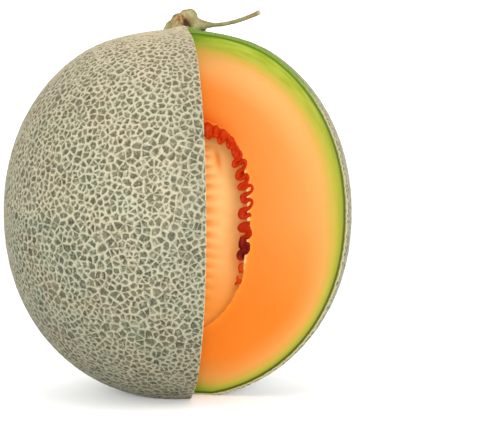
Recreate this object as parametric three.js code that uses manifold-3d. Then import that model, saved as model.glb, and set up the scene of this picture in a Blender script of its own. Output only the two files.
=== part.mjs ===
// A netted cantaloupe standing on its blossom end, with one wedge cut out from stem to base.
// Millimetres, +Z up. The origin is the middle of the flat spot that the melon rests on,
// +Z runs along the melon's axis to the stem, and the missing wedge opens towards -Y.
import * as THREE from "three";
import { mergeVertices } from "three/addons/utils/BufferGeometryUtils.js";
import Module from "manifold-3d";

// Driving dimensions of the fruit
const EQUATOR_DIAMETER = 165;
const POLE_LENGTH = 177.4; // pole to pole, before the rest spot and the crown are flattened
const ROUNDNESS = 2.1; // exponent of the superellipse profile: 2 is an ellipse, more is fuller
const REST_SPOT_DIAMETER = 36;
const CROWN_DIP = 2; // how much lower the flattened crown round the stem lies
const CROWN_RADIUS = 35;
const CROWN_EDGE = 4; // exponent of the fall-off at the crown's edge: more is sharper

// The missing wedge: two flat cuts that meet on an upright line just in front of the stem
const WEDGE_ANGLE = 69.5; // degrees
const WEDGE_APEX_OFFSET = 6.2; // from the melon's axis to the line where the cuts meet

// The seed cavity, which the cuts open: a hollow of revolution about the axis
const CAVITY_DIAMETER = 73;
const CAVITY_LENGTH = 104;
const CAVITY_TOP_ROUNDNESS = 3; // as ROUNDNESS, for the blunt upper half; the lower half is an ellipse
const CAVITY_DROP = 6.6; // the cavity's middle lies this far under the melon's middle

// The stem: a flared foot, a knob on it, and a thin dry vine end that bends off to one side.
// Its own frame has +X along the vine end, and its origin on the axis at the top of the fruit.
const STEM_HEADING = -40.75; // degrees about +Z, from the melon's +X to the stem's +X
const FOOT_CENTRE = [3.8, 3, 0];
const FOOT_RADIUS = 10.2;
const FOOT_HEIGHT = 8.4;
const FOOT_OUTLINE = [
  // shares of the radius and of the height, from the rim up to the knob
  [1, 0],
  [0.8, 0.42],
  [0.5, 0.85],
  [0.25, 1],
];
const FOOT_DEPTH_SHARE = 0.72; // the foot is this much narrower across the heading
const FOOT_SINK = 6; // depth of the foot's blank under the fruit's top, before it is cut to fit
const KNOB_CENTRE = [5.2, 3, 5.8];
const KNOB_RADIUS = 4.8;
const VINE_DIAMETER = 2.2;
const VINE_ROUTE = [
  [10, 3, 3],
  [17.5, 2.5, 2.3],
  [24.7, 2.2, 3.4],
  [32.8, 2, 5.9],
  [39.3, 2, 8.7],
];
const VINE_ROOT_DIAMETER = 6.4; // where the vine swells into the foot
const VINE_ROOT_LENGTH = 11;
const VINE_ROOT_CENTRE = [11, 3, 2.8];
const FIT_GAP = 0.3; // between the stem's foot and the rind under it

// Facets
const ROUND_STEPS = 60;
const PROFILE_STEPS = 34;
const CAVITY_ROUND_STEPS = 36;
const CAVITY_PROFILE_STEPS = 16;
const STEM_ROUND_STEPS = 20;
const STEM_PROFILE_STEPS = 10;
const VINE_HALF_ROUND_STEPS = 4;
const VINE_LENGTH_STEPS = 12;
const MERGE_TOLERANCE = 1e-4;

const equatorRadius = EQUATOR_DIAMETER / 2;
const poleRadius = POLE_LENGTH / 2;
const restRadius = REST_SPOT_DIAMETER / 2;
const middleHeight = poleRadius * superellipse(restRadius / equatorRadius);
const topHeight = middleHeight + poleRadius - crownDip(0);
const stemHeading = THREE.MathUtils.degToRad(STEM_HEADING);

const wasm = await Module();
wasm.setup();

// The other coordinate of a unit superellipse, for one coordinate from 0 to 1.
function superellipse(share) {
  return Math.pow(1 - Math.pow(share, ROUNDNESS), 1 / ROUNDNESS);
}

// How far the flattened crown lies under the plain profile, at a distance from the axis.
function crownDip(radius) {
  return CROWN_DIP * Math.exp(-((radius / CROWN_RADIUS) ** CROWN_EDGE));
}

// A closed surface turned about +Z from a half outline that starts and ends on the axis.
function turned(outline, steps) {
  return new THREE.LatheGeometry(outline, steps).rotateX(Math.PI / 2);
}

function solidFrom(geometry) {
  const bare = geometry.clone();
  bare.deleteAttribute("normal");
  bare.deleteAttribute("uv");
  const merged = mergeVertices(bare, MERGE_TOLERANCE);
  return new wasm.Manifold(
    new wasm.Mesh({
      numProp: 3,
      vertProperties: new Float32Array(merged.attributes.position.array),
      triVerts: new Uint32Array(merged.index.array),
    }),
  );
}

function geometryFrom(solid) {
  const mesh = solid.getMesh();
  const geometry = new THREE.BufferGeometry();
  geometry.setAttribute("position", new THREE.BufferAttribute(mesh.vertProperties, 3));
  geometry.setIndex(new THREE.BufferAttribute(mesh.triVerts, 1));
  geometry.computeVertexNormals();
  return geometry;
}

// The whole fruit, turned from a superellipse with a flat rest spot and a flattened crown.
function wholeFruitGeometry() {
  const power = 2 / ROUNDNESS;
  const startAngle = -Math.acos(Math.pow(restRadius / equatorRadius, 1 / power));
  const outline = [new THREE.Vector2(0, 0), new THREE.Vector2(restRadius, 0)];
  for (let step = 1; step < PROFILE_STEPS; step++) {
    const angle = startAngle + ((Math.PI / 2 - startAngle) * step) / PROFILE_STEPS;
    const radius = equatorRadius * Math.pow(Math.cos(angle), power);
    const rise = poleRadius * Math.sign(angle) * Math.pow(Math.abs(Math.sin(angle)), power);
    const dip = angle > 0 ? crownDip(radius) : 0;
    outline.push(new THREE.Vector2(radius, middleHeight + rise - dip));
  }
  outline.push(new THREE.Vector2(0, topHeight));
  return turned(outline, ROUND_STEPS);
}

// The seed cavity, turned from a quarter ellipse below and a quarter superellipse above.
function cavityGeometry() {
  const outline = [];
  for (let step = 0; step <= CAVITY_PROFILE_STEPS; step++) {
    const angle = -Math.PI / 2 + (Math.PI * step) / CAVITY_PROFILE_STEPS;
    const power = angle > 0 ? 2 / CAVITY_TOP_ROUNDNESS : 1;
    const onAxis = step === 0 || step === CAVITY_PROFILE_STEPS;
    const radius = onAxis ? 0 : (CAVITY_DIAMETER / 2) * Math.pow(Math.cos(angle), power);
    const rise = (CAVITY_LENGTH / 2) * Math.sign(angle) * Math.pow(Math.abs(Math.sin(angle)), power);
    outline.push(new THREE.Vector2(radius, rise));
  }
  return turned(outline, CAVITY_ROUND_STEPS).translate(0, 0, middleHeight - CAVITY_DROP);
}

// The three-sided prism between the two cuts, open towards -Y.
function wedgeGeometry() {
  const reach = EQUATOR_DIAMETER;
  const halfWidth = reach * Math.tan(THREE.MathUtils.degToRad(WEDGE_ANGLE / 2));
  const outline = new THREE.Shape([
    new THREE.Vector2(0, -WEDGE_APEX_OFFSET),
    new THREE.Vector2(-halfWidth, -WEDGE_APEX_OFFSET - reach),
    new THREE.Vector2(halfWidth, -WEDGE_APEX_OFFSET - reach),
  ]);
  const prism = new THREE.ExtrudeGeometry(outline, { depth: 2 * POLE_LENGTH, bevelEnabled: false });
  return prism.translate(0, 0, -POLE_LENGTH / 2);
}

function melonGeometry(wholeFruit) {
  const cut = solidFrom(wholeFruit).subtract(solidFrom(wedgeGeometry()));
  return geometryFrom(cut.subtract(solidFrom(cavityGeometry())));
}

function footGeometry() {
  const rim = new THREE.Vector2(FOOT_RADIUS, -FOOT_SINK);
  const slope = FOOT_OUTLINE.map(([out, up]) => new THREE.Vector2(FOOT_RADIUS * out, FOOT_HEIGHT * up));
  const outline = [
    new THREE.Vector2(0, -FOOT_SINK),
    ...new THREE.SplineCurve([rim, ...slope]).getPoints(STEM_PROFILE_STEPS),
    new THREE.Vector2(0, FOOT_HEIGHT),
  ];
  return turned(outline, STEM_ROUND_STEPS).scale(1, FOOT_DEPTH_SHARE, 1).translate(...FOOT_CENTRE);
}

function knobGeometry() {
  const ball = new THREE.SphereGeometry(KNOB_RADIUS, STEM_ROUND_STEPS, STEM_PROFILE_STEPS);
  return ball.rotateX(Math.PI / 2).translate(...KNOB_CENTRE);
}

function vineGeometry() {
  const route = new THREE.CatmullRomCurve3(VINE_ROUTE.map((point) => new THREE.Vector3(...point)));
  const section = new THREE.Shape().absarc(0, 0, VINE_DIAMETER / 2, 0, 2 * Math.PI);
  return new THREE.ExtrudeGeometry(section, {
    extrudePath: route,
    steps: VINE_LENGTH_STEPS,
    curveSegments: VINE_HALF_ROUND_STEPS,
    bevelEnabled: false,
  });
}

function vineRootGeometry() {
  const narrow = VINE_DIAMETER / 2;
  const wide = VINE_ROOT_DIAMETER / 2;
  const taper = new THREE.CylinderGeometry(narrow, wide, VINE_ROOT_LENGTH, STEM_ROUND_STEPS);
  return taper.rotateZ(-Math.PI / 2).translate(...VINE_ROOT_CENTRE);
}

// The stem in its own frame, trimmed underneath to stand on the fruit with a hairline gap.
function stemGeometry(wholeFruit) {
  const pieces = [footGeometry(), knobGeometry(), vineGeometry(), vineRootGeometry()];
  const blank = pieces.map(solidFrom).reduce((joined, piece) => joined.add(piece));
  const fruitBelow = wholeFruit.clone().translate(0, 0, FIT_GAP - topHeight).rotateZ(-stemHeading);
  return geometryFrom(blank.subtract(solidFrom(fruitBelow)));
}

const wholeFruit = wholeFruitGeometry();

const melon = new THREE.Mesh(
  melonGeometry(wholeFruit),
  new THREE.MeshStandardMaterial({ color: 0xada98d, roughness: 0.75, metalness: 0 }),
);
melon.name = "melon";

const stem = new THREE.Mesh(
  stemGeometry(wholeFruit),
  new THREE.MeshStandardMaterial({ color: 0x9a9060, roughness: 0.85, metalness: 0 }),
);
stem.name = "stem";

const stemSeat = new THREE.Group();
stemSeat.position.z = topHeight;
stemSeat.rotation.z = stemHeading;
stemSeat.add(stem);

const cantaloupe = new THREE.Group();
cantaloupe.name = "cantaloupe";
cantaloupe.add(melon, stemSeat);

export default cantaloupe;
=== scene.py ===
"""The looks of a netted cantaloupe that stands with a wedge cut out of it.

Lengths are in millimetres until a mesh is finished. The origin is the middle of the rest spot,
+Z runs up the fruit's axis to the stem, and the missing wedge opens towards -Y.
Stops are pairs of a place and the value there.
"""
import math

import bmesh
import bpy
import numpy as np
from mathutils import Matrix, Vector, kdtree, noise
from mathutils.geometry import delaunay_2d_cdt


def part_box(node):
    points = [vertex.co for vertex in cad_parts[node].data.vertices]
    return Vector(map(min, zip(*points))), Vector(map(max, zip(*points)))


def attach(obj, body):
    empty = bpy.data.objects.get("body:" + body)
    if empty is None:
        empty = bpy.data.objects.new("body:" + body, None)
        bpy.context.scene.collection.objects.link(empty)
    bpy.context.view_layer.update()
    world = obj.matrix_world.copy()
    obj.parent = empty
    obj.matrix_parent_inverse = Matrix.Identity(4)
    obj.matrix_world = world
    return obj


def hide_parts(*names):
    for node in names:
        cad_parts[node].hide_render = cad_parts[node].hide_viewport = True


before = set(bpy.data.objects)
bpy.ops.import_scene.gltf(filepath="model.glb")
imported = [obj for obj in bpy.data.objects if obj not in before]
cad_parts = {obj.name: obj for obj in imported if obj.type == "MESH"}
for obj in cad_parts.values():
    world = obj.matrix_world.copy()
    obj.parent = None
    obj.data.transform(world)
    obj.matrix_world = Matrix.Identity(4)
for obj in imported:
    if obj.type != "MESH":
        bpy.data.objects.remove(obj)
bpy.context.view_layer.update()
melon_low, melon_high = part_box("melon")

MM = 0.001  # metres in a millimetre
SEED = 7
LIGHT_LEVEL = 1.7  # brightness of the light on the fruit's front, which material colours allow for

# The fruit's shape, as the frame has it
EQUATOR_RADIUS = (melon_high.x - melon_low.x) / 2 / MM
POLE_RADIUS = 88.7
ROUNDNESS = 2.1  # exponent of the superellipse profile
REST_RADIUS = 18
CROWN_DIP = 2  # how much lower the flattened crown round the stem lies
CROWN_RADIUS = 35
CROWN_EDGE = 4  # exponent of the fall-off at the crown's edge
MIDDLE_Z = POLE_RADIUS * (1 - (REST_RADIUS / EQUATOR_RADIUS) ** ROUNDNESS) ** (1 / ROUNDNESS)
TOP_Z = MIDDLE_Z + POLE_RADIUS - CROWN_DIP
COLLAR_HEIGHT = 1.9  # of the rind's swelling in front of the stem
COLLAR_CENTRE = (-1.2, -5.2, TOP_Z)
COLLAR_RADII = (5.2, 5.2, 12)

# The missing wedge, between two upright cuts that meet in front of the axis
WEDGE_HALF_ANGLE = math.radians(34.75)
APEX_OFFSET = 6.2
CUT_SIN = math.sin(WEDGE_HALF_ANGLE)
CUT_COS = math.cos(WEDGE_HALF_ANGLE)

# The seed cavity, a hollow of revolution about the axis, with a blunt upper end
CAVITY_RADIUS = 36.5
CAVITY_HALF_LENGTH = 52
CAVITY_TOP_ROUNDNESS = 3  # exponent of the upper half's profile; the lower half is an ellipse
CAVITY_DROP = 6.6  # of its middle under the fruit's middle
CAVITY_Z = MIDDLE_Z - CAVITY_DROP

# The net: cords round cells of uneven size, which are smaller round the stem
CANDIDATE_PITCH = 1.0  # of the places for cells' middles
CELL_ROOM = (1.4, 2.9)  # least way between cells' middles
LARGE_CELL_ROOM = (3.2, 4.1)
LARGE_CELL_SHARE = 0.012  # of the places
STEM_CROWDING = 0.32  # how much the room shrinks at the stem
CROWDING_REACH = 0.6  # radians from the stem
CORNER_SHIFT = 0.3  # how far a corner of the net strays from its even place
CREST_HEIGHT = 0.34
CREST_SPREAD = (0.6, 1.15)  # least and most share of it, as below
FLOOR_DEPTH = 0.2
FLOOR_SPREAD = (0.7, 1.3)
SLOPE_WIDTH = 1.05  # from a cord's crest to the floor of the cell beside it
SLOPE_SPREAD = (0.75, 1.25)
SLOPE_LIMIT = 0.62  # the most that a slope takes of the way to its cell's middle
CORNER_GAP = 0.08  # closer corners are joined
RIND_THICKNESS = 1.1
SEED_MARGIN = 9  # cells are laid out this far into the missing wedge, before it is cut
CELL_MARGIN = 4.5

# The rind's tints, and its map for baking in shares of the map
STEM_TINT_REACH = 55  # how far from the axis the net is warmer in tone, and lighter: partly its own colour, partly painted light from above
PAINTED_BASE_SHADE = ((0, 0.26), (75, 0))  # painted shade: by height, how much darker the rind is painted near the ground
PAINTED_CUT_SHADE = 0.14  # painted shade: how much darker the rind is painted along the cuts
CUT_SHADE_REACH = 14
MARGIN_TINT = ((134, 0), (152, 0.9))  # by height, how green it is along the right cut
MARGIN_REACH = 4
MARGIN_START = 0.5  # way to the right of the fruit's middle
MAP_WIDTH = 0.9
MAP_BORDER = 0.01
MAP_EDGE_PLACE = 0.03
MAP_EDGE_WIDTH = 0.02

# The flesh's meshes
FLESH_DEPTH = 0.6  # of the flesh's outside under the smooth skin
EDGE_RECESS = 0.15  # of the cut flesh behind the rind's cut edge
APEX_WIDTH = 3  # of the strip where the relief fades to the line where the cuts meet
FACE_ROWS = 241
FACE_COLUMNS = 49
WALL_COLUMNS = 181
WALL_CLOSENESS = 0.7  # how much closer the columns lie at the cuts
OUTSIDE_COLUMNS = 33
FACE_SWELLS = ((0.16, 14, 5), (0.05, 3, 9))  # height, width and noise offset of the cuts' relief
FACE_HOLD = 2  # width of the strip along a cut's edges where its relief fades
RAG_HEIGHTS = (0.35, 0.25)  # of the wide and the narrow waves on the cavity's edge

# The flesh's colours
RIPE_DEPTH = 46  # depth under the rind at which the flesh has its full colour
CROWN_RISE = ((0, 0), (30, 0.45), (58, 1))  # by degrees above the middle, share of the top's colours
CROWN_MATCHES = (
    # by depth at the fruit's top, the depth at its side that has the same colour
    (0, 0), (2, 2), (5.6, 3.6), (7.4, 5.6), (12, 10.7), (17, 14), (23, 20), (46, 46),
)
LOW_REACH = 45  # way below the middle to where the lower end's colours are full
LOW_RIPENING = 0.7  # how much faster the flesh ripens with depth there
LOW_GLOW = 0.9
LOW_GLOW_DROP = 2  # of its start under the middle
CORE_RADIUS = 25
GREEN_RADIUS = 15  # of the green flesh under the stem
GREEN_DEPTHS = ((1, 1), (3, 1), (9, 0))
TAN_RADIUS = 17
TAN_DEPTHS = ((4, 0), (8, 0.8), (13, 0.7), (19, 0))
LINE_DEPTHS = ((0.5, 1), (1.1, 0))  # of the dark line under the rind
RIM_SHADE = 0.6  # of the cuts along the cavity's edge
RIM_REACH = 1.2
BLUSH_ANGLES = ((50, 0), (80, 1))  # by degrees about the cavity's middle, how red its edge is
BLUSH_REACH = 2.6
PAINTED_LIGHT = 0.85  # painted light: how much paler the cavity's wall is painted behind the cuts, against the shade there
PAINTED_LIGHT_REACH = 16

# The relief of the cavity's wall
SWELL_HEIGHT = 0.5
SEAM_TURNS = (59, -30, -118)  # degrees from the back to the right, of the ribbed seams
SEAM_HEIGHT = 0.6
SEAM_REACH = 6.5
RIB_HEIGHT = 1.7
RIB_PITCH = 5.6
GROOVE_REACH = 7.2
GROOVE_LOSS = 0.7  # how much less orange the ribs are
SEED_SOCKETS = ((76, 31), (-12, 22), (24, -16), (-72, 6))  # degrees as above, height in the cavity
SOCKET_SIZE = (1.9, 5.5)  # half the width and half the length
CALM_RADIUS = 14  # about the axis, where the relief fades
LIP_HEIGHT = 2.2  # of the ledge just behind each cut, which carries the frill
LIP_START = 0.8  # way from the cut to the ledge
LIP_END = 4.5
LIP_ANGLES = ((-45, 0), (-30, 1))  # by degrees about the cavity's middle, how full the ledge is
LIP_FLESH_ANGLES = ((40, 0), (60, 1))  # how much it has the cut flesh's colour

# The red frill of seed fibres along the cavity's edge on each cut, by shares of its length
FRILL_TOP = math.radians(88)  # angle about the cavity's middle
FRILL_END = math.radians(-30)
FRILL_STEP = 0.35
EDGE_STEPS = 600
FRILL_PITCH = ((0, 4.6), (0.25, 5.0), (0.6, 6.6), (1, 7.6))  # of its folds
FRILL_SWING = ((0, 1.2), (0.1, 2.0), (0.3, 2.4), (0.5, 3.0), (0.85, 2.8), (1, 0.9))
FRILL_THICKNESS = (
    (0, 0.8), (0.03, 1.5), (0.3, 1.5), (0.5, 1.9), (0.7, 2.2), (0.82, 2.9), (0.95, 2.8), (1, 0.6),
)
FRILL_SAG = ((0, 0.5), (0.04, 2.6), (0.08, 3.5), (0.1, 3.2), (0.3, 0.3))  # into the cavity, at its top
FRILL_DRIFT = ((0.3, 0), (0.5, -0.7), (0.85, -0.8), (1, -0.4))  # lower down, back to the edge
FRILL_WAVERS = {
    # size of a random swing, and the counts of waves in it
    "pitch": (0.25, (5, 8, 13)),
    "swing": (0.35, (6, 11, 17)),
    "thickness": (0.22, (9, 16, 23)),
    "drift": (0.35, (7, 12, 19)),
    "recess": (0.25, (4, 7, 11)),
}
FRILL_SECTION = (
    # share of the way from its free edge back to the wall, and share of its thickness there
    (0, 0.4), (0.04, 0.8), (0.12, 1), (0.3, 1), (0.55, 0.95), (0.8, 0.9), (1, 0.9),
)
FRILL_STAND = 3.0  # of its middle line over the cavity's edge, at the cut
STAND_FADE = 0.8  # how much less it stands at the wall
FRILL_DEPTH = 5
FRILL_FRONT = 0.2  # of its free edge in front of the cut
FOLD_FADE = 0.5  # how much less the folds swing at the wall
FOLD_LEAN = 0.4  # of a fold along the edge, as a share of its swing
FOLD_BULGE = 0.14  # of a fold's flanks along the edge, as a share of the pitch
ROOT_SHARE = 0.48  # of the frill's length that has a thick root along the cavity's edge
ROOT_RADII = ((0, 2.9), (0.03, 4.1), (0.12, 3.3), (0.3, 2.0), (ROOT_SHARE, 0.7))
ROOT_KNOTS = 0.2  # how much thicker it is at the folds
ROOT_STAND = 1.2
ROOT_RECESS = 1.8

# The loose curls under the frill, by their least and most
CURL_ANGLES = (-32, -35, -39, -43, -48)  # degrees about the cavity's middle
CURL_POINTS = 14
CURL_BEND = (2.4, 4.4)
CURL_RADIUS = (1.1, 1.8)
CURL_STAND = (0.4, 1.4)
CURL_RECESS = (0.6, 2.4)
CURL_THICKNESS = (0.75, 1.05)
CURL_TAPER = 0.3
TUBE_SIDES = 14
FIBRE_VOXEL = 0.36
FIBRE_SHADES = (
    # by degrees about the cavity's middle, how dark the red is: partly the fibres' own colour, partly
    # painted shade
    (-60, 0), (-34, 0.1), (-27, 0.95), (-16, 0.9), (-6, 0.5), (20, 0.32), (50, 0.3), (80, 0.15),
)

# The stem, in its own frame: +X along the vine end, from the axis at the fruit's top
STEM_HEADING = math.radians(-40.75)
STEM_BODIES = (
    # centre and radii of each swelling
    ((2.5, 3, 0.2), (9.6, 7.2, 3.9)), ((4.2, 3, 3.6), (6.4, 5, 4.4)),
    ((-1.8, 3, 1.6), (4.4, 4.4, 3.6)), ((0.4, 2.8, 4.6), (3.7, 3.6, 3.7)),
    ((3.6, 3, 6.3), (3.2, 3.2, 3.7)), ((5.8, 3.2, 6.1), (3.7, 3.6, 4.3)),
    ((9.2, 3, 2.6), (3.4, 3, 2.3)), ((10.6, 3, 0.9), (2.8, 2.6, 1.8)),
)
VINE_ROUTE = (
    (9, 3, 3.3), (13, 2.8, 2.7), (17.5, 2.5, 2.5), (24.7, 2.2, 3.4), (32.8, 2, 5.9), (39.3, 2, 8.8),
)
VINE_RADII = (2.9, 1.9, 1.0, 0.95, 1.0, 1.15)
VINE_POINTS = 60
VINE_START = ((9, 0), (15, 1))  # along X, how much the stem is the thin vine
VINE_TIP = ((37.6, 0), (38.8, 1))
VINE_RIDGES = 5
RIDGE_HEIGHT = 0.12
FOOT_RIBS = 11
FOOT_RIB_HEIGHT = 0.3
FOOT_RIB_FADE = ((2.5, 1), (6, 0.25))  # by height
FOOT_LENGTH = 1.3  # as a share of its width
WRINKLES = ((0.22, 1.1), (0.1, 0.6))  # height and width of the long and the short wrinkles
WRINKLE_STRETCH = (0.35, 1, 1)
STEM_SPOTS = {
    # strength, centre and radii of the soft spots of each tint
    "scar": ((1.5, (1.3, -1.0, 5.4), (2.9, 3.2, 2.6)),),
    "crust": ((1, (3.6, 2.2, 10.2), (2.6, 3, 0.9)), (1, (-1.4, 1.0, 7.0), (1.2, 2, 1.0))),
    "red": ((0.7, (35, 2, 7.0), (1.9, 3, 3)),),
    # hollow: dents, painted dark brown as shade
    "hollow": ((1, (4.6, -2.6, 2.4), (1.9, 2.4, 2.1)), (0.8, (3.2, -2.0, 4.8), (1.1, 2.2, 1.5))),
    # below: painted shadow under the vine's root
    "below": ((1.3, (11.6, 1.5, -0.3), (3.2, 4.5, 1.2)),),
}
# the most of each tint; below is painted shadow
STEM_TINT_LIMITS = {"scar": 0.95, "crust": 0.8, "red": 0.7, "below": 0.9}
HOLLOW_DEPTH = 1.6
STEM_VOXEL = 0.34

# The camera, fitted to the photograph's frame of 500 by 443 pixels
FRAME_WIDTH = 500
FRAME_HEIGHT = 443
FOCAL_PIXELS = 1881.8
CAMERA_DISTANCE = 900
CAMERA_TURN = math.radians(-40.75)
CAMERA_RISE = math.radians(3)
MIDDLE_PIXEL = (178.3, 212.3)  # where the fruit's middle shows
SENSOR_WIDTH = 36

# The stage, in metres, and its lights
FLOOR_SIZE = 4  # half its width
FLOOR_GLOW = 0.2
BACKDROP_SIZE = 3
BACKDROP_GLOW = 0.4
BACKDROP_DISTANCE = 3  # behind the fruit
SKY_LEVEL = 0.84
LIGHTS = (
    # name, turn and rise in degrees, distance, size, and power in watts
    ("left", -105, 30, 1.6, 1.0, 4.5),
    ("front", -38, 8, 1.25, 0.3, 13),
    ("right", 62, 12, 1.6, 1.0, 11),
    ("overhead", -60, 75, 1.6, 1.4, 6.5),
)


def seen(red, green, blue):
    """The linear colour that looks like these 8-bit sRGB values in the scene's light."""
    def linear(value):
        share = value / 255
        return share / 12.92 if share <= 0.04045 else ((share + 0.055) / 1.055) ** 2.4
    return tuple(linear(value) / LIGHT_LEVEL for value in (red, green, blue)) + (1,)


def grey(value):
    return (value, value, value, 1)


# Numbers and lines

def at_stops(place, stops):
    """The value at each place, straight between the stops."""
    return np.interp(place, *zip(*stops))


def fade(distance, reach):
    """1 at a place, fading to 0 about two reaches away from it."""
    return np.exp(-((distance / reach) ** 2))


def blob(points, centre, radii):
    """1 at a place in space, fading to 0 about two radii away from it."""
    return np.exp(-np.sum(((points - np.array(centre)) / radii) ** 2, axis=-1))


def smooth_noise(points, scale, offset=0.0):
    """Smooth noise from -1 to 1 at each point, with features about as large as scale."""
    return np.array([noise.noise(Vector(p) / scale + Vector((offset,) * 3)) for p in points])


def unit(vectors):
    return vectors / np.linalg.norm(vectors, axis=-1, keepdims=True)


def from_axis(point):
    return np.hypot(point[..., 0], point[..., 1])


def run_along(line):
    """The way along a line of points from its start to each point."""
    return np.r_[0, np.cumsum(np.linalg.norm(np.diff(line, axis=0), axis=1))]


def spaced(line, run, way):
    """Points of a line at these ways along it."""
    return np.stack([np.interp(way, run, column) for column in line.T], 1)


# Shape of the fruit

def crown_dip(offset):
    """How far the flattened crown lies under the plain superellipse, by offset from the middle."""
    dip = CROWN_DIP * np.exp(-((from_axis(offset) / CROWN_RADIUS) ** CROWN_EDGE))
    return np.where(offset[..., 2] > 0, dip, 0)


def level(offset):
    """1 on the plain superellipse and less inside it, by offset from the fruit's middle."""
    out = from_axis(offset) / EQUATOR_RADIUS
    up = np.abs(offset[..., 2]) / POLE_RADIUS
    return (out**ROUNDNESS + up**ROUNDNESS) ** (1 / ROUNDNESS)


def skin_point(direction):
    """The point of the smooth skin in each direction from the fruit's middle."""
    point = direction / level(direction)[..., None]
    point[..., 2] += MIDDLE_Z - crown_dip(point)
    point[..., 2] = np.maximum(point[..., 2], 0)
    return point


def skin_depth(point):
    """How deep each point lies under the smooth skin."""
    offset = point - np.array((0, 0, MIDDLE_Z))
    offset[..., 2] += crown_dip(offset)
    depth = np.linalg.norm(offset, axis=-1) * (1 / level(offset) - 1)
    return np.minimum(depth, point[..., 2])


def skin_normal(point):
    """The outward direction of the smooth skin at each point on it."""
    offset = point - np.array((0, 0, MIDDLE_Z))
    radius = np.maximum(from_axis(offset), 1e-6)
    slope_out = (radius / EQUATOR_RADIUS) ** (ROUNDNESS - 1) / EQUATOR_RADIUS
    rise = np.abs(offset[..., 2]) / POLE_RADIUS
    slope_up = np.sign(offset[..., 2]) * rise ** (ROUNDNESS - 1) / POLE_RADIUS
    normal = offset * (slope_out / radius)[..., None]
    normal[..., 2] = slope_up
    normal[point[..., 2] <= 0] = (0, 0, -1)
    return unit(normal)


def wedge_depth(point):
    """How far each point lies inside the missing wedge, below 0 in the fruit."""
    return -np.abs(point[..., 0]) * CUT_COS - (point[..., 1] + APEX_OFFSET) * CUT_SIN


def cut_point(side, along, height):
    """Points of the right (1) or left (-1) cut, by their way from the line where the cuts meet."""
    return np.stack((side * along * CUT_SIN, -APEX_OFFSET - along * CUT_COS, height), -1)


def ray_point(side, angle, reach):
    """Points of a cut, by the angle and length of their way from the cavity's middle."""
    return cut_point(side, reach * np.cos(angle), CAVITY_Z + reach * np.sin(angle))


def cut_normal(side):
    """The direction that a cut face looks in, out into the missing wedge."""
    return np.array((-side * CUT_COS, -CUT_SIN, 0))


# Meshes

def put(name, data):
    thing = bpy.data.objects.new(name, data)
    bpy.context.scene.collection.objects.link(thing)
    return thing


def mesh_of(name, bm):
    mesh = bpy.data.meshes.new(name)
    bm.to_mesh(mesh)
    bm.free()
    return mesh


def finish_mesh(name, bm, material, node):
    """Makes an object of a mesh in millimetres, which rides on the root body and replaces a node."""
    for face in bm.faces:
        face.smooth = True
    mesh = mesh_of(name, bm)
    mesh.transform(Matrix.Scale(MM, 4))
    mesh.materials.append(material)
    piece = put(name, mesh)
    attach(piece, "root")
    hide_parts(node)


def bmesh_from(points, faces, values):
    """A mesh of points and faces, with a named number at each point for the material to read."""
    mesh = bpy.data.meshes.new("draft")
    mesh.from_pydata(points.tolist(), [], faces)
    for name, numbers in values.items():
        layer = mesh.attributes.new(name, "FLOAT", "POINT")
        layer.data.foreach_set("value", numbers.astype(np.float32))
    bm = bmesh.new()
    bm.from_mesh(mesh)
    bpy.data.meshes.remove(mesh)
    return bm


def places(bm):
    return np.array([vert.co for vert in bm.verts])


def store(bm, **values):
    """Keeps named numbers at the vertices for the material to read."""
    for name, numbers in values.items():
        layer = bm.verts.layers.float.new(name)
        for vert, number in zip(bm.verts, numbers):
            vert[layer] = number


def loft(bm, sections):
    """A closed skin over rings of points that follow one another."""
    rings = [[bm.verts.new(point) for point in ring] for ring in sections]
    for ring, following in zip(rings, rings[1:]):
        for index in range(len(ring)):
            bm.faces.new((ring[index - 1], ring[index], following[index], following[index - 1]))
    bm.faces.new(rings[0][::-1])
    bm.faces.new(rings[-1])


def tube(bm, points, radii, across):
    """A closed round tube through points, bending about a given direction."""
    ahead = np.gradient(points, axis=0)
    second = unit(np.cross(ahead, across))
    first = unit(np.cross(second, ahead))
    turn = np.linspace(0, 2 * np.pi, TUBE_SIDES, endpoint=False)[:, None]
    loft(bm, [
        point + radius * (np.cos(turn) * one + np.sin(turn) * two)
        for point, radius, one, two in zip(points, radii, first, second)
    ])


def fused(bm, voxel, rounds):
    """One closed mesh of the overlapping bodies in a mesh, smoothed in a number of rounds."""
    bmesh.ops.recalc_face_normals(bm, faces=bm.faces)
    mesh = mesh_of("draft", bm)
    draft = put("draft", mesh)
    remesh = draft.modifiers.new("fuse", "REMESH")
    remesh.mode = "VOXEL"
    remesh.voxel_size = voxel
    joined = bmesh.new()
    joined.from_mesh(draft.evaluated_get(bpy.context.evaluated_depsgraph_get()).data)
    bpy.data.objects.remove(draft)
    bpy.data.meshes.remove(mesh)
    for _ in range(rounds):
        bmesh.ops.smooth_vert(
            joined, verts=joined.verts, factor=0.5, use_axis_x=True, use_axis_y=True, use_axis_z=True
        )
    joined.normal_update()
    return joined


# Materials

def new_material(name):
    material = bpy.data.materials.new(name)
    material.use_nodes = True
    return material, material.node_tree, material.node_tree.nodes["Principled BSDF"]


def plug(node, inputs):
    """Links a node's inputs to sockets, or sets them to values."""
    for name, value in inputs.items():
        if isinstance(value, bpy.types.NodeSocket):
            node.id_data.links.new(value, node.inputs[name])
        else:
            node.inputs[name].default_value = value


def add(tree, kind, inputs, **settings):
    """A new node with its settings made and its inputs plugged."""
    node = tree.nodes.new(kind)
    for name, value in settings.items():
        setattr(node, name, value)
    plug(node, inputs)
    return node


def attribute(tree, name):
    return add(tree, "ShaderNodeAttribute", {}, attribute_name=name).outputs["Fac"]


def calculate(operation, first, second):
    inputs = {0: first, 1: second}
    return add(first.id_data, "ShaderNodeMath", inputs, operation=operation).outputs[0]


def times(first, second):
    return calculate("MULTIPLY", first, second)


def plus(first, second):
    return calculate("ADD", first, second)


def centred(value, size):
    """A noise value from 0 to 1, moved to swing about 0 by half a size each way."""
    return times(calculate("SUBTRACT", value, 0.5), size)


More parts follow.
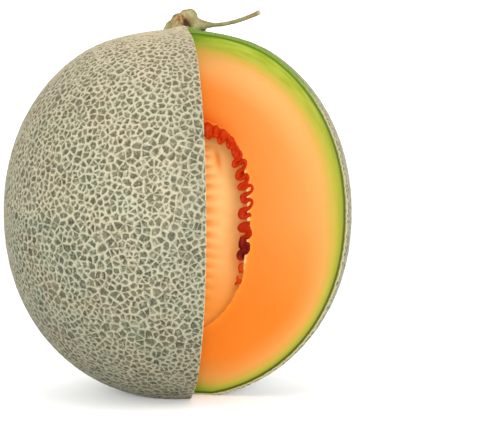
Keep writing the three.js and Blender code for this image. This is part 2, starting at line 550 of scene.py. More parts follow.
def ramp(factor, *stops):
    """A colour ramp with colours as stops."""
    node = add(factor.id_data, "ShaderNodeValToRGB", {"Fac": factor})
    elements = node.color_ramp.elements
    while len(elements) < len(stops):
        elements.new(0.5)
    for element, (place, _) in zip(elements, stops):
        element.position = place
    for element, (_, colour) in zip(elements, stops):
        element.color = colour
    return node.outputs["Color"]


def seen_ramp(factor, *stops):
    """A colour ramp with seen colours, each behind its place."""
    return ramp(factor, *((place, seen(*rgb)) for place, *rgb in stops))


def rise_between(value, start, end):
    """0 up to a start, and 1 from an end on."""
    return ramp(value, (start, grey(0)), (end, grey(1)))


def mix(factor, first, second):
    inputs = {0: factor, 6: first, 7: second}
    return add(factor.id_data, "ShaderNodeMix", inputs, data_type="RGBA").outputs[2]


def tinted(colour, **shades):
    """A colour that turns to each shade in turn as the vertices' number of that name goes to 1."""
    for name, shade in shades.items():
        colour = mix(attribute(colour.id_data, name), colour, shade)
    return colour


def noise_node(tree, scale, detail=3, vector=None):
    """Noise over the object's own coordinates, or over a given vector, with its scale per metre."""
    if vector is None:
        vector = add(tree, "ShaderNodeTexCoord", {}).outputs["Object"]
    inputs = {"Vector": vector, "Scale": scale, "Detail": detail}
    return add(tree, "ShaderNodeTexNoise", inputs).outputs["Fac"]


def bump(height, strength, distance):
    inputs = {"Height": height, "Strength": strength, "Distance": distance}
    return add(height.id_data, "ShaderNodeBump", inputs).outputs["Normal"]


# Rind

def net_seeds(rng):
    """Directions of the cells' middles: each in turn takes its room among closely set places."""
    mean_radius = (EQUATOR_RADIUS + POLE_RADIUS) / 2
    count = int(4 * np.pi * (mean_radius / CANDIDATE_PITCH) ** 2)
    order = np.arange(count) + 0.5
    up = 1 - 2 * order / count
    turn = order * np.pi * (3 - np.sqrt(5))
    out = np.sqrt(1 - up**2)
    seeds = np.stack((out * np.cos(turn), out * np.sin(turn), up), 1)
    seeds = unit(seeds + rng.uniform(-0.5, 0.5, seeds.shape) * CANDIDATE_PITCH / mean_radius)
    seeds = seeds[wedge_depth(skin_point(seeds)) < SEED_MARGIN]

    count = len(seeds)
    large = rng.uniform(0, 1, count) < LARGE_CELL_SHARE
    room = np.where(large, rng.uniform(*LARGE_CELL_ROOM, count), rng.uniform(*CELL_ROOM, count))
    room *= (1 - STEM_CROWDING * fade(np.arccos(seeds[:, 2]), CROWDING_REACH)) / mean_radius
    tree = kdtree.KDTree(count)
    for index, seed in enumerate(seeds):
        tree.insert(seed, index)
    tree.balance()
    free = np.ones(count, bool)
    kept = []
    for index in np.lexsort((rng.uniform(0, 1, count), ~large)):
        if free[index]:
            kept.append(index)
            for _, other, _ in tree.find_range(seeds[index], room[index]):
                free[other] = False
    return seeds[kept]


def net_cells(seeds):
    """Directions of the net's corners, and the corners round each cell: cells and corners in order."""
    # Seen from the middle of the wedge, circles on the sphere stay circles on a plane,
    # so the plane's Delaunay triangles are the sphere's too
    flat = seeds[:, (0, 2)] / (1 + seeds[:, 1])[:, None]
    found = delaunay_2d_cdt([Vector(point) for point in flat], [], [], 0, 1e-9)
    original = np.array([numbers[0] for numbers in found[3]])
    triangles = original[np.array(found[2])]
    first, second, third = (seeds[triangles[:, corner]] for corner in range(3))
    corners = unit(np.cross(second - first, third - first))
    corners *= np.sign(np.sum(corners * first, axis=1, keepdims=True))

    cell = triangles.ravel()
    corner = np.repeat(np.arange(len(triangles)), 3)
    seed = seeds[cell]
    helper = np.where(np.abs(seed[:, 2:]) < 0.9, (0, 0, 1), (1, 0, 0))
    east = np.cross(helper, seed)
    north = np.cross(seed, east)
    away = corners[corner] - seed
    angle = np.arctan2(np.sum(away * north, 1), np.sum(away * east, 1))
    kept = (wedge_depth(skin_point(seeds)) < CELL_MARGIN)[cell]
    order = np.lexsort((angle[kept], cell[kept]))
    return corners, cell[kept][order], corner[kept][order]


def netted_skin(rng):
    """The netted skin before the cut: cords between the cells' corners, and a floor in each cell."""
    corners, cell, corner = net_cells(net_seeds(rng))
    used, corner = np.unique(corner, return_inverse=True)
    strays = rng.uniform(-1, 1, (len(used), 3)) * CORNER_SHIFT / EQUATOR_RADIUS
    crest = skin_point(corners[used] + strays)
    start = np.flatnonzero(np.r_[True, cell[1:] != cell[:-1]])
    count = np.diff(np.r_[start, len(cell)])
    number = np.repeat(np.arange(len(start)), count)
    following = np.arange(1, len(cell) + 1)
    following[start + count - 1] = start

    rim = crest[corner]
    middle = (np.add.reduceat(rim, start) / count[:, None])[number]
    inwards = middle - rim
    reach = np.linalg.norm(inwards, axis=1)
    width = SLOPE_WIDTH * rng.uniform(*SLOPE_SPREAD, len(start))[number]
    floor = rim + inwards * (np.minimum(width, SLOPE_LIMIT * reach) / reach)[:, None]
    floor -= skin_normal(floor) * FLOOR_DEPTH * rng.uniform(*FLOOR_SPREAD, len(start))[number][:, None]
    crest += skin_normal(crest) * CREST_HEIGHT * rng.uniform(*CREST_SPREAD, len(crest))[:, None]

    points = np.concatenate((crest, floor))
    points[:, 2] = np.maximum(points[:, 2], 0)
    points[:, 2] += COLLAR_HEIGHT * blob(points, COLLAR_CENTRE, COLLAR_RADII)
    ring = len(crest) + np.arange(len(cell))
    slopes = np.stack((corner, corner[following], ring[following], ring), 1).tolist()
    floors = [numbers.tolist() for numbers in np.split(ring, start[1:])]
    values = {
        "cord": np.concatenate((np.ones(len(crest)), np.zeros(len(floor)))),
        "tone": np.concatenate((np.full(len(crest), 0.5), rng.uniform(0, 1, len(start))[number])),
        "edge": np.zeros(len(points)),
        "under": np.zeros(len(points)),
    }
    bm = bmesh_from(points, slopes + floors, values)
    bmesh.ops.remove_doubles(bm, verts=bm.verts, dist=CORNER_GAP)
    return bm


def face_centres(bm):
    return np.array([face.calc_center_median() for face in bm.faces])


def cut_skin(bm):
    """Cuts the wedge out of the skin and turns its edge in along the cuts by the rind's thickness."""
    apex = (0, -APEX_OFFSET, 0)
    for side in (1, -1):
        centres = face_centres(bm)
        near = (np.abs(wedge_depth(centres)) < SEED_MARGIN) & (side * centres[:, 0] > -SEED_MARGIN)
        faces = [face for face, is_near in zip(bm.faces, near) if is_near]
        edges = {edge for face in faces for edge in face.edges}
        verts = {vert for face in faces for vert in face.verts}
        bmesh.ops.bisect_plane(
            bm, geom=[*verts, *edges, *faces], dist=1e-5, plane_co=apex, plane_no=cut_normal(side)
        )
    depths = wedge_depth(face_centres(bm))
    inside = [face for face, depth in zip(bm.faces, depths) if depth > 0]
    bmesh.ops.delete(bm, geom=inside, context="FACES")

    edge_layer = bm.verts.layers.float["edge"]
    under_layer = bm.verts.layers.float["under"]
    edges = [edge for edge in bm.edges if edge.is_boundary]
    for edge in edges:
        edge.smooth = False
        for vert in edge.verts:
            vert[edge_layer] = 1
    made = bmesh.ops.extrude_edge_only(bm, edges=edges)["geom"]
    verts = [item for item in made if isinstance(item, bmesh.types.BMVert)]
    points = np.array([vert.co for vert in verts])
    inwards = -skin_normal(points)
    for side in (1, -1):
        here = side * points[:, 0] >= 0
        inwards[here] -= np.outer(inwards[here] @ cut_normal(side), cut_normal(side))
    moved = points + unit(inwards) * (RIND_THICKNESS - skin_depth(points))[:, None]
    for vert, place in zip(verts, moved):
        vert.co = place
        vert[edge_layer] = 1
        vert[under_layer] = 1


def lay_out_skin(bm):
    """A map of the skin for baking: turns across, tilts up, and the rind's cut edges at the sides."""
    layer = bm.loops.layers.uv.new("OFBake")
    for face in bm.faces:
        centre = face.calc_center_median()
        centre_turn = math.atan2(centre.x, centre.y)
        on_cut = abs(face.normal.dot(cut_normal(1 if centre.x > 0 else -1))) > 0.98
        on_cut = on_cut and abs(wedge_depth(np.array(centre))) < 1e-3
        for loop in face.loops:
            place = loop.vert.co
            tilt = math.atan2(math.hypot(place.x, place.y), MIDDLE_Z - place.z) / math.pi
            if on_cut:
                depth = MAP_EDGE_WIDTH * float(skin_depth(np.array(place))) / RIND_THICKNESS
                turn = 1 - MAP_EDGE_PLACE + depth if centre.x > 0 else MAP_EDGE_PLACE - depth
            else:
                spread = math.atan2(place.x, place.y) - centre_turn
                spread -= 2 * math.pi * round(spread / (2 * math.pi))
                turn = 0.5 + MAP_WIDTH * (centre_turn + spread) / (2 * math.pi)
            loop[layer].uv = (turn, MAP_BORDER + (1 - 2 * MAP_BORDER) * tilt)


def rind_material():
    material, tree, shader = new_material("netted_rind")
    cord = attribute(tree, "cord")
    under = attribute(tree, "under")
    stem_near = attribute(tree, "stem_near")
    grain = noise_node(tree, scale=1500, detail=2)
    wander = noise_node(tree, scale=520, detail=2)
    patch = rise_between(noise_node(tree, scale=55), 0.42, 0.6)

    tone = attribute(tree, "tone")
    cell_colour = seen_ramp(tone, (0, 56, 54, 32), (0.45, 78, 76, 52), (1, 114, 112, 85))
    cell_colour = mix(times(patch, 0.55), cell_colour, seen(76, 86, 64))
    # near the stem the cells are warmer in tone and lighter, partly painted light from above
    cell_colour = mix(stem_near, cell_colour, seen(158, 137, 99))
    scurf = rise_between(noise_node(tree, scale=1000), 0.46, 0.7)
    cell_colour = mix(times(scurf, 0.6), cell_colour, seen(148, 144, 116))

    speckle = noise_node(tree, scale=600)
    cord_colour = seen_ramp(speckle, (0.3, 158, 150, 120), (0.5, 187, 180, 150), (0.7, 204, 196, 167))
    cord_colour = mix(times(patch, 0.6), cord_colour, seen(174, 181, 152))
    # near the stem the cords are warmer in tone and much lighter, partly painted light from above
    cord_colour = mix(stem_near, cord_colour, seen(254, 235, 194))
    # painted highlight: the cords' crests are lighter in places
    crest = rise_between(cord, 0.6, 1)
    painted_highlight = times(crest, rise_between(wander, 0.4, 0.62))
    cord_colour = mix(times(painted_highlight, 0.7), cord_colour, seen(220, 213, 187))

    rough = plus(centred(wander, 2.0), centred(grain, 1.4))
    height = plus(cord, rough)
    colour = mix(rise_between(height, 0.02, 0.66), cell_colour, cord_colour)
    # painted shade near the ground and along the cuts
    colour = tinted(colour, dark=seen(72, 68, 50))
    edge = rise_between(attribute(tree, "edge"), 0.5, 0.85)
    colour = mix(edge, colour, seen(206, 198, 154))
    cut_colour = seen_ramp(under, (0.35, 200, 196, 150), (0.7, 150, 156, 78), (1, 92, 100, 20))
    cut_colour = mix(times(stem_near, 0.8), cut_colour, seen(104, 122, 40))
    colour = mix(rise_between(under, 0.02, 0.3), colour, cut_colour)
    plug(shader, {
        "Base Color": tinted(colour, margin=seen(122, 156, 40)),
        "Roughness": ramp(cord, (0, grey(0.55)), (1, grey(0.85))),
        "Specular IOR Level": 0.3,
        "Normal": bump(grain, strength=0.35, distance=0.0002),
    })
    return material


def make_rind():
    rng = np.random.default_rng(SEED)
    bm = netted_skin(rng)
    cut_skin(bm)
    bm.normal_update()
    lay_out_skin(bm)
    points = places(bm)
    height = points[:, 2]
    by_cut = wedge_depth(points)
    # painted shade, darker near the ground and along the cuts
    low = at_stops(height, PAINTED_BASE_SHADE)
    margin = fade(by_cut, MARGIN_REACH) * at_stops(height, MARGIN_TINT)
    store(
        bm,
        stem_near=np.where(height > MIDDLE_Z, fade(from_axis(points), STEM_TINT_REACH), 0),
        dark=np.maximum(low, PAINTED_CUT_SHADE * fade(by_cut, CUT_SHADE_REACH)),
        margin=np.where(points[:, 0] > MARGIN_START, margin, 0),
    )
    finish_mesh("rind", bm, rind_material(), "melon")


# Flesh

class Patches:
    """Grids of points that are welded into one closed mesh, with numbers for the material."""

    def __init__(self, *names):
        self.points = []
        self.faces = []
        self.values = {name: [] for name in names}
        self.count = 0

    def grid(self, points, **values):
        rows, columns = points.shape[:2]
        index = self.count + np.arange(rows * columns).reshape(rows, columns)
        corners = (index[:-1, :-1], index[:-1, 1:], index[1:, 1:], index[1:, :-1])
        self.faces += np.stack(corners, -1).reshape(-1, 4).tolist()
        self.points.append(points.reshape(-1, 3))
        for name, parts in self.values.items():
            parts.append(np.broadcast_to(values.get(name, 0.0), (rows, columns)).ravel())
        self.count += rows * columns

    def cap(self, rim, height, **values):
        """Closes a rim with faces that meet on the axis."""
        pole = np.array((0, 0, height))
        self.grid(np.stack((rim, np.broadcast_to(pole, rim.shape))), **values)

    def weld(self):
        values = {name: np.concatenate(parts) for name, parts in self.values.items()}
        bm = bmesh_from(np.concatenate(self.points), self.faces, values)
        bmesh.ops.remove_doubles(bm, verts=bm.verts, dist=1e-4)
        bmesh.ops.dissolve_degenerate(bm, edges=bm.edges, dist=1e-5)
        bmesh.ops.recalc_face_normals(bm, faces=bm.faces)
        return bm


def ray_reach(angle, holds):
    """How far each ray on a cut face goes from the cavity's middle before a test stops holding."""
    near = np.zeros_like(angle)
    far = np.full_like(angle, 2 * POLE_RADIUS)
    for _ in range(40):
        middle = (near + far) / 2
        inside = holds(ray_point(1, angle, middle))
        near = np.where(inside, middle, near)
        far = np.where(inside, far, middle)
    return near


def in_cavity(point):
    out = from_axis(point) / CAVITY_RADIUS
    up = (point[..., 2] - CAVITY_Z) / CAVITY_HALF_LENGTH
    roundness = np.where(up > 0, CAVITY_TOP_ROUNDNESS, 2)
    return out**roundness + np.abs(up) ** roundness < 1


def cavity_edge(angle):
    """Reach of the cavity's slightly ragged edge on the cut faces, at each angle."""
    wide = RAG_HEIGHTS[0] * np.sin(angle * 37 + 2 * np.sin(angle * 11))
    narrow = RAG_HEIGHTS[1] * np.sin(angle * 71)
    return ray_reach(angle, in_cavity) + (wide + narrow) * np.cos(angle)


def crown_share(point):
    """0 at the fruit's side to 1 at its top, where the green layer is thick."""
    rise = np.degrees(np.arctan2(point[..., 2] - MIDDLE_Z, from_axis(point)))
    return at_stops(rise, CROWN_RISE)


def ripeness(point):
    """Place of each point on the flesh's colour ramp, which starts under the rind."""
    depth = np.maximum(skin_depth(point) - RIND_THICKNESS, 0)
    depth = depth * (1 + LOW_RIPENING * np.clip((MIDDLE_Z - point[..., 2]) / LOW_REACH, 0, 1))
    crown = crown_share(point)
    match = (1 - crown) * depth + crown * at_stops(depth, CROWN_MATCHES)
    return np.clip(match / RIPE_DEPTH, 0, 1)


def core_glow(point):
    """How much stronger the orange is: along the axis, and towards the lower end."""
    low = np.clip((MIDDLE_Z - LOW_GLOW_DROP - point[..., 2]) / LOW_REACH, 0, 1)
    return np.maximum(fade(from_axis(point), CORE_RADIUS), LOW_GLOW * low)


def under_stem(point):
    """How green, and deeper how tan, the flesh is under the stem."""
    out = from_axis(point)
    depth = skin_depth(point)
    green = fade(out, GREEN_RADIUS) * at_stops(depth, GREEN_DEPTHS)
    tan = fade(out, TAN_RADIUS) * at_stops(depth, TAN_DEPTHS)
    return green, tan


def wall_relief(turn, run, out, height):
    """Relief and orange hollows of the cavity's wall, the orange partly their own colour and partly
    painted shade; below 0 the relief stands into the cavity.
    """
    swell = np.sin(run / 9.0 + 2.2 * np.sin(turn * 2.3)) * np.sin(turn * 3.1 + run / 23)
    relief = SWELL_HEIGHT * swell
    groove = np.zeros_like(relief)
    for number, seam in enumerate(SEAM_TURNS):
        across = (turn - math.radians(seam)) * out
        phase = 2 * np.pi * (run / RIB_PITCH) + 1.3 * np.sin(run / 7.3 + number) + 0.09 * across
        ribs = 0.5 + 0.5 * np.cos(phase)
        relief -= fade(across, SEAM_REACH) * (SEAM_HEIGHT + RIB_HEIGHT * ribs)
        groove = np.maximum(groove, fade(across, GROOVE_REACH) * (1 - GROOVE_LOSS * ribs))
    for socket_turn, socket_height in SEED_SOCKETS:
        across = (turn - math.radians(socket_turn)) * out / SOCKET_SIZE[0]
        along = (height - socket_height) / SOCKET_SIZE[1]
        socket = np.exp(-(across**2) - along**2)
        relief += socket
        groove = np.maximum(groove, socket)
    return relief, groove


def off_apex(along):
    """0 on the line where the cuts meet, and 1 a little way from it."""
    return np.clip(along / APEX_WIDTH, 0, 1)


def flesh_face(patches, side, angle, inner, outer):
    """One cut face, from the cavity's edge out to the skin."""
    angle, inner, outer = (column[:, None] for column in (angle, inner, outer))
    share = (1 - np.cos(np.linspace(0, np.pi, FACE_COLUMNS))) / 2
    reach = inner + (outer - inner) * share
    points = ray_point(side, angle, reach)
    flat = points.reshape(-1, 3)
    uneven = sum(size * smooth_noise(flat, width, side * offset) for size, width, offset in FACE_SWELLS)
    held = np.clip(np.minimum(reach - inner, outer - reach) / FACE_HOLD, 0, 1)
    recess = EDGE_RECESS * np.clip(1 - (outer - reach), 0, 1)
    shift = (uneven.reshape(reach.shape) * held - recess) * off_apex(reach * np.cos(angle))
    green, tan = under_stem(points)
    top = at_stops(np.degrees(angle), BLUSH_ANGLES)
    patches.grid(
        points + shift[..., None] * cut_normal(side),
        ripe=ripeness(points),
        crown=crown_share(points),
        core=core_glow(points),
        green=green,
        tan=tan,
        line=at_stops(skin_depth(points) - RIND_THICKNESS, LINE_DEPTHS),
        run=angle + side,
        groove=RIM_SHADE * np.exp(-((reach - inner) / RIM_REACH)),
        blush=np.exp(-((reach - inner) / BLUSH_REACH)) * top,
    )


def revolved(ends, turn):
    """Points that are turned about the axis from the back, as high and as far out as the ends."""
    out = from_axis(ends)[:, None]
    return np.stack((out * np.sin(turn), out * np.cos(turn), ends[:, 2:] + 0 * turn), -1)


def flesh_wall(patches, angle, inner):
    """The wall of the seed cavity, from the right cut round the back to the left one."""
    plain = ray_reach(angle, in_cavity)
    ends = ray_point(1, angle, plain)
    out = from_axis(ends)[:, None]
    even = np.linspace(0, 1, WALL_COLUMNS)
    share = even - WALL_CLOSENESS * np.sin(2 * np.pi * even) / (2 * np.pi)
    turn_end = np.arctan2(ends[:, 0], ends[:, 1])[:, None]
    turn = turn_end * (1 - 2 * share)
    behind = 2 * turn_end * out * np.minimum(share, 1 - share)
    run = np.cumsum(np.r_[0, np.hypot(np.diff(out[:, 0]), np.diff(ends[:, 2]))])[:, None]
    points = revolved(ends, turn)
    degrees = np.degrees(angle)[:, None]
    inside = np.clip(behind / LIP_START, 0, 1)
    lip = np.interp(behind, (LIP_END, 2 * LIP_END), (1, 0)) * at_stops(degrees, LIP_ANGLES)
    free = (1 - lip) * inside * np.clip(out / CALM_RADIUS, 0, 1)
    relief, groove = wall_relief(turn, run + 0 * turn, out, points[..., 2] - CAVITY_Z)
    relief = relief * free - LIP_HEIGHT * lip * inside + (inner - plain)[:, None] * (1 - inside)
    middle = np.array((0, -APEX_OFFSET, CAVITY_Z))
    points = points + unit(points - middle) * relief[..., None]
    patches.grid(
        points,
        ripe=1.0,
        core=core_glow(points),
        wall=inside * (1 - lip * at_stops(degrees, LIP_FLESH_ANGLES)),
        # painted light: the wall is painted paler near the cuts
        pale=PAINTED_LIGHT * fade(behind, PAINTED_LIGHT_REACH),
        # deeper orange in the wall's hollows, partly their own colour and partly painted shade
        groove=groove * free,
    )
    for row, end in ((0, -1), (-1, 1)):
        patches.cap(points[row], CAVITY_Z + end * CAVITY_HALF_LENGTH, ripe=1.0, core=1.0)


def flesh_outside(patches, angle, outer):
    """The flesh's outside under the rind, from the right cut round the back to the left one."""
    ends = ray_point(1, angle, outer)
    turn_end = np.arctan2(ends[:, 0], ends[:, 1])[:, None]
    points = revolved(ends, turn_end * (1 - 2 * np.linspace(0, 1, OUTSIDE_COLUMNS)))
    recess = EDGE_RECESS * off_apex(outer * np.cos(angle))
    points[:, 0] -= np.outer(recess, cut_normal(1))
    points[:, -1] -= np.outer(recess, cut_normal(-1))
    patches.grid(points)
    for row in (0, -1):
        patches.cap(points[row], points[row, 0, 2])


def flesh_material():
    material, tree, shader = new_material("flesh")
    ripe = attribute(tree, "ripe")
    crown = attribute(tree, "crown")
    soft = noise_node(tree, scale=45)
    along_skin = add(tree, "ShaderNodeCombineXYZ", {
        "X": times(ripe, 42),
        "Y": times(attribute(tree, "run"), 5),
    }).outputs[0]
    streaks = noise_node(tree, scale=1, vector=along_skin)
    sway = plus(centred(soft, 0.1), centred(streaks, 0.22))
    place = plus(ripe, times(ripe, sway))
    depths = (
        (0, 140, 150, 38), (1.5, 160, 169, 50), (3, 181, 179, 58), (4.2, 196, 186, 68),
        (5.5, 211, 187, 75), (7.5, 226, 181, 83), (10.5, 243, 179, 95), (13.5, 251, 175, 92),
        (22, 252, 164, 80), (32, 252, 159, 73), (46, 253, 153, 64),
    )
    colour = seen_ramp(place, *((depth / RIPE_DEPTH, *rgb) for depth, *rgb in depths))
    lime = seen_ramp(streaks, (0.36, 150, 172, 24), (0.5, 174, 196, 58), (0.64, 190, 206, 84))
    green_layer = ramp(place, (0.04, grey(0.85)), (0.12, grey(0)))
    colour = mix(times(crown, green_layer), colour, lime)
    pale_layer = ramp(place, (0.14, grey(0)), (0.26, grey(0.7)), (0.48, grey(0)))
    colour = mix(times(crown, pale_layer), colour, seen(253, 196, 120))
    glow = times(attribute(tree, "core"), rise_between(ripe, 0.1, 0.55))
    colour = mix(glow, colour, seen(255, 140, 34))
    line = mix(crown, seen(80, 88, 12), seen(88, 124, 18))
    colour = tinted(colour, tan=seen(206, 166, 80), green=seen(84, 138, 10), line=line)
    wall = ramp(soft, (0.35, (0.97, 0.66, 0.26, 1)), (0.6, (1, 0.75, 0.35, 1)))
    # painted light near the cuts, and the core's stronger orange
    wall = tinted(wall, pale=(1, 0.88, 0.48, 1), core=(0.98, 0.4, 0.06, 1))
    # groove: deeper orange at the cavity's edge on the cuts, and in the wall's hollows partly painted
    # shade
    colour = tinted(colour, wall=wall, groove=(0.78, 0.26, 0.02, 1), blush=seen(240, 84, 8))
    plug(shader, {
        "Base Color": colour,
        "Roughness": 0.45,
        "Specular IOR Level": 0.08,
        "Subsurface Weight": 0.2,
        "Subsurface Radius": (1.0, 0.4, 0.12),
        "Subsurface Scale": 0.004,
        "Normal": bump(noise_node(tree, scale=700), strength=0.12, distance=0.0004),
    })
    return material


def make_flesh():
    angle = np.linspace(-np.pi / 2, np.pi / 2, FACE_ROWS)
    inner = cavity_edge(angle)
    outer = ray_reach(angle, lambda point: skin_depth(point) > FLESH_DEPTH)
    patches = Patches(
        "ripe", "crown", "core", "green", "tan", "line", "run", "wall", "pale", "groove", "blush"
    )
    for side in (1, -1):
        flesh_face(patches, side, angle, inner, outer)
    flesh_wall(patches, angle, inner)
    flesh_outside(patches, angle, outer)
    bm = patches.weld()
    for edge in bm.edges:
        edge.smooth = any(math.hypot(v.co.x, v.co.y + APEX_OFFSET) > 1e-3 for v in edge.verts)
    finish_mesh("flesh", bm, flesh_material(), "melon")


# Fibres

def wavering(share, rng, name):
    """A smooth random swing about 0 along the frill."""
    size, counts = FRILL_WAVERS[name]
    return size * (sum(np.sin(2 * np.pi * (count * share + rng.uniform())) for count in counts) / 2)


def square_to(flat):
    """Flat directions, turned to the right."""
    return np.stack((flat[:, 1], -flat[:, 0]), 1)


def frill(bm, side, rng):
    """The frill on one cut: a folded sheet with its free edge at the cut, and a thick root above."""
    angle = np.linspace(FRILL_TOP, FRILL_END, EDGE_STEPS)
    reach = ray_reach(angle, in_cavity)
    edge = np.stack((reach * np.cos(angle), reach * np.sin(angle)), 1)
    run = run_along(edge)
    way = np.linspace(0, run[-1], int(run[-1] / FRILL_STEP))
    share = way / run[-1]
    edge = spaced(edge, run, way)
    ahead = np.gradient(edge, way, axis=0)
    inward = square_to(ahead)

    pitch = at_stops(share, FRILL_PITCH) * (1 + wavering(share, rng, "pitch"))
    phase = 2 * np.pi * np.cumsum(FRILL_STEP / pitch)
    swing = at_stops(share, FRILL_SWING) * (1 + wavering(share, rng, "swing"))
    thickness = at_stops(share, FRILL_THICKNESS) * (1 + wavering(share, rng, "thickness"))
    sag = at_stops(share, FRILL_SAG)
    drift = at_stops(share, FRILL_DRIFT) + wavering(share, rng, "drift")
    recess = wavering(share, rng, "recess") - FRILL_FRONT

    upper = share < ROOT_SHARE
    root = (edge + inward * (ROOT_STAND + sag)[:, None])[upper]
    root = cut_point(side, root[:, 0], CAVITY_Z + root[:, 1]) - ROOT_RECESS * cut_normal(side)
    radii = at_stops(share, ROOT_RADII) * (1 + ROOT_KNOTS * np.sin(phase + 1))
    tube(bm, root, radii[upper], cut_normal(side))

    front = []
    back = []
    for depth, fullness in FRILL_SECTION:
        fold = swing * (1 - FOLD_FADE * depth) * np.sin(phase + depth)
        line = edge + inward * (FRILL_STAND * (1 - STAND_FADE * depth) + sag + drift + fold)[:, None]
        bulge = FOLD_BULGE * pitch * (1 - depth) * np.sin(2 * phase)
        line += ahead * (FOLD_LEAN * fold - bulge)[:, None]
        half = square_to(unit(np.gradient(line, axis=0))) * (fullness * thickness / 2)[:, None]
        for sheet, flat in ((front, line + half), (back, line - half)):
            points = cut_point(side, flat[:, 0], CAVITY_Z + flat[:, 1])
            sheet.append(points - np.outer(recess + depth * FRILL_DEPTH, cut_normal(side)))
    loft(bm, np.stack(front + back[::-1], 1))


def curl(bm, side, angle, rng):
    """A loose curled fibre at the cavity's edge on one cut."""
    bend = rng.uniform(0, 2 * np.pi) + np.linspace(0, rng.uniform(*CURL_BEND), CURL_POINTS)
    radius = rng.uniform(*CURL_RADIUS)
    reach = ray_reach(np.array((angle,)), in_cavity) - rng.uniform(*CURL_STAND)
    along = reach * math.cos(angle) + radius * np.cos(bend)
    height = CAVITY_Z + reach * math.sin(angle) + radius * np.sin(bend)
    recess = np.linspace(*CURL_RECESS, CURL_POINTS)
    points = cut_point(side, along, height) - np.outer(recess, cut_normal(side))
    taper = np.sin(np.linspace(CURL_TAPER, np.pi - CURL_TAPER, CURL_POINTS))
    tube(bm, points, rng.uniform(*CURL_THICKNESS) * (0.5 + 0.5 * taper), cut_normal(side))


def fibre_material():
    material, tree, shader = new_material("fibres")
    strands = noise_node(tree, scale=420)
    # how dark the red is by angle, partly the fibres' own colour and partly painted shade
    place = plus(attribute(tree, "shade"), centred(strands, 0.4))
    colour = seen_ramp(
        place, (0, 230, 84, 10), (0.25, 208, 50, 2), (0.55, 176, 36, 2), (0.8, 140, 18, 2), (1, 88, 5, 1)
    )
    # painted shade: the fibres are darker the deeper they lie behind the cut
    deep = times(attribute(tree, "deep"), 0.4)
    plug(shader, {
        "Base Color": mix(deep, colour, seen(160, 34, 4)),
        "Roughness": 0.4,
        "Specular IOR Level": 0.06,
        "Subsurface Weight": 0.15,
        "Subsurface Radius": (1.0, 0.25, 0.08),
        "Subsurface Scale": 0.002,
        "Normal": bump(strands, strength=0.25, distance=0.0005),
    })
    return material


def make_fibres():
    rng = np.random.default_rng(SEED + 2)
    bm = bmesh.new()
    for side in (1, -1):
        frill(bm, side, rng)
        for degrees in CURL_ANGLES:
            curl(bm, side, math.radians(degrees), rng)
    bm = fused(bm, FIBRE_VOXEL, rounds=2)
    points = places(bm)
    along = np.hypot(points[:, 0], points[:, 1] + APEX_OFFSET)
    angle = np.degrees(np.arctan2(points[:, 2] - CAVITY_Z, along))
    store(
        bm,
        # darker red by angle, partly painted shade
        shade=at_stops(angle, FIBRE_SHADES),
        # painted shade, deeper behind the cut
        deep=np.clip(-wedge_depth(points) / FRILL_DEPTH, 0, 1),
    )
    finish_mesh("fibres", bm, fibre_material(), "melon")


# Stem

def vine_line():
    """Points along the vine end, with its radius at each."""
    route = np.array(VINE_ROUTE, float)
    run = run_along(route)
    way = np.linspace(0, run[-1], VINE_POINTS)
    points = spaced(route, run, way)
    for _ in range(VINE_POINTS):
        points[1:-1] += (points[:-2] + points[2:] - 2 * points[1:-1]) / 4
    return points, np.interp(way, run, VINE_RADII)


def stem_wrinkles(points, line):
    """How far the stem stands out: ridges along the vine, ribs on the foot, and wrinkles."""
    nearest = np.argmin(np.linalg.norm(points[:, None] - line[None], axis=2), axis=1)
    away = points - line[nearest]
    round_vine = np.arctan2(away[:, 2], away[:, 1])
    on_vine = at_stops(points[:, 0], VINE_START)
    from_foot = points - np.array(STEM_BODIES[0][0])
    round_foot = np.arctan2(from_foot[:, 1] * FOOT_LENGTH, from_foot[:, 0])
    on_foot = (1 - on_vine) * at_stops(points[:, 2], FOOT_RIB_FADE)
    (long_height, long_width), (short_height, short_width) = WRINKLES
    wrinkles = long_height * smooth_noise(points * np.array(WRINKLE_STRETCH), long_width)
    wrinkles += short_height * smooth_noise(points, short_width, 3)
    ridges = RIDGE_HEIGHT * on_vine * np.cos(VINE_RIDGES * round_vine + points[:, 0] / 9)
    ribs = FOOT_RIB_HEIGHT * on_foot * np.cos(FOOT_RIBS * round_foot + 0.8 * np.sin(3 * round_foot))
    return wrinkles * (1 - 0.6 * on_vine) + ridges + ribs


def stem_spots(points, name):
    """How strong a tint's spots are at each point."""
    return sum(strength * blob(points, centre, radii) for strength, centre, radii in STEM_SPOTS[name])


def stem_material():
    material, tree, shader = new_material("dry_stem")
    fine = noise_node(tree, scale=900, detail=4)
    mottle = noise_node(tree, scale=260)
    body = seen_ramp(mottle, (0.3, 148, 136, 84), (0.5, 172, 164, 112), (0.7, 190, 182, 136))
    vine = seen_ramp(mottle, (0.35, 128, 132, 80), (0.65, 164, 158, 110))
    flakes = noise_node(tree, scale=520)
    scar = seen_ramp(flakes, (0.38, 136, 92, 44), (0.5, 192, 144, 88), (0.62, 222, 186, 134))
    colour = tinted(
        body,
        vine=vine,
        scar=scar,
        crust=seen(118, 98, 68),
        red=seen(168, 116, 78),
        tip=seen(206, 198, 168),
        # painted shade in the stem's dents
        hollow=seen(78, 48, 8),
    )
    colour = mix(rise_between(fine, 0.55, 0.8), colour, seen(112, 100, 58))
    plug(shader, {
        # painted shadow under the vine's root
        "Base Color": tinted(colour, below=seen(64, 76, 22)),
        "Roughness": ramp(fine, (0.3, grey(0.7)), (0.7, grey(0.9))),
        "Specular IOR Level": 0.25,
        "Normal": bump(fine, strength=0.4, distance=0.0003),
    })
    return material


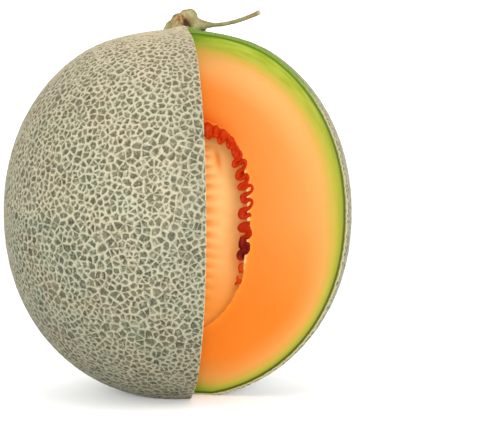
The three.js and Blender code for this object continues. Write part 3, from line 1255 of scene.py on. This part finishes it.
def make_stem():
    bm = bmesh.new()
    for centre, radii in STEM_BODIES:
        place = Matrix.Translation(centre) @ Matrix.Diagonal((*radii, 1))
        bmesh.ops.create_icosphere(bm, subdivisions=4, radius=1, matrix=place)
    line, radii = vine_line()
    tube(bm, line, radii, (0, 1, 0))
    bm = fused(bm, STEM_VOXEL, rounds=4)

    points = places(bm)
    hollow = HOLLOW_DEPTH * stem_spots(points, "hollow")
    for vert, amount in zip(bm.verts, stem_wrinkles(points, line) - hollow):
        vert.co += vert.normal * amount
    tints = {name: np.clip(stem_spots(points, name), 0, most) for name, most in STEM_TINT_LIMITS.items()}
    store(
        bm,
        vine=at_stops(points[:, 0], VINE_START),
        tip=at_stops(points[:, 0], VINE_TIP),
        # painted shade in the dents
        hollow=np.clip(hollow, 0, 1),
        **tints,
    )
    bm.transform(Matrix.Translation((0, 0, TOP_Z)) @ Matrix.Rotation(STEM_HEADING, 4, "Z"))
    bm.normal_update()
    finish_mesh("stem_end", bm, stem_material(), "stem")


# Stage

def direction(turn, rise):
    """The direction from the fruit to something that is turned from -Y towards +X, and raised."""
    return Vector((math.sin(turn) * math.cos(rise), -math.cos(turn) * math.cos(rise), math.sin(rise)))


def make_camera():
    camera = bpy.data.cameras.new("camera")
    camera.sensor_fit = "HORIZONTAL"
    camera.sensor_width = SENSOR_WIDTH
    camera.lens = FOCAL_PIXELS / FRAME_WIDTH * SENSOR_WIDTH
    camera.clip_end = 20
    back = direction(CAMERA_TURN, CAMERA_RISE)
    right = Vector((math.cos(CAMERA_TURN), math.sin(CAMERA_TURN), 0))
    up = back.cross(right)
    middle = Vector((0, 0, MIDDLE_Z))
    scale = CAMERA_DISTANCE / FOCAL_PIXELS
    aim = middle + right * (FRAME_WIDTH / 2 - MIDDLE_PIXEL[0]) * scale
    aim += up * (MIDDLE_PIXEL[1] - FRAME_HEIGHT / 2) * scale
    place = middle + back * CAMERA_DISTANCE
    holder = put("camera", camera)
    holder.location = place * MM
    holder.rotation_euler = (aim - place).to_track_quat("-Z", "Y").to_euler()
    bpy.context.scene.camera = holder


def make_stage_sheet(name, size, glow):
    """A large flat white sheet that is no part of the fruit and shines a little by itself."""
    bm = bmesh.new()
    bmesh.ops.create_grid(bm, x_segments=8, y_segments=8, size=size)
    mesh = mesh_of(name, bm)
    material, _, shader = new_material(name)
    plug(shader, {
        "Base Color": grey(0.9),
        "Roughness": 0.9,
        "Emission Color": grey(1),
        "Emission Strength": glow,
    })
    mesh.materials.append(material)
    sheet = put(name, mesh)
    return sheet


def make_floor():
    make_stage_sheet("floor", FLOOR_SIZE, FLOOR_GLOW)


def make_backdrop():
    """An upright white sheet behind the fruit, as the camera sees it."""
    sheet = make_stage_sheet("backdrop", BACKDROP_SIZE, BACKDROP_GLOW)
    back = direction(CAMERA_TURN, 0)
    sheet.location = back * -BACKDROP_DISTANCE
    sheet.rotation_euler = back.to_track_quat("Z", "Y").to_euler()


def make_light(name, turn, rise, distance, size, power):
    """A soft square light that points at the fruit's middle, from a direction in degrees."""
    lamp = bpy.data.lights.new(name, "AREA")
    lamp.size = size
    lamp.energy = power
    back = direction(math.radians(turn), math.radians(rise))
    holder = put(name, lamp)
    holder.location = Vector((0, 0, MIDDLE_Z * MM)) + back * distance
    holder.rotation_euler = (-back).to_track_quat("-Z", "Y").to_euler()


def make_lights():
    world = bpy.context.scene.world or bpy.data.worlds.new("world")
    bpy.context.scene.world = world
    world.use_nodes = True
    sky = world.node_tree.nodes["Background"]
    plug(sky, {"Color": grey(1), "Strength": SKY_LEVEL})
    for light in LIGHTS:
        make_light(*light)


bpy.context.scene.view_settings.view_transform = "Standard"
make_camera()
make_floor()
make_backdrop()
make_lights()
make_rind()
make_flesh()
make_fibres()
make_stem()
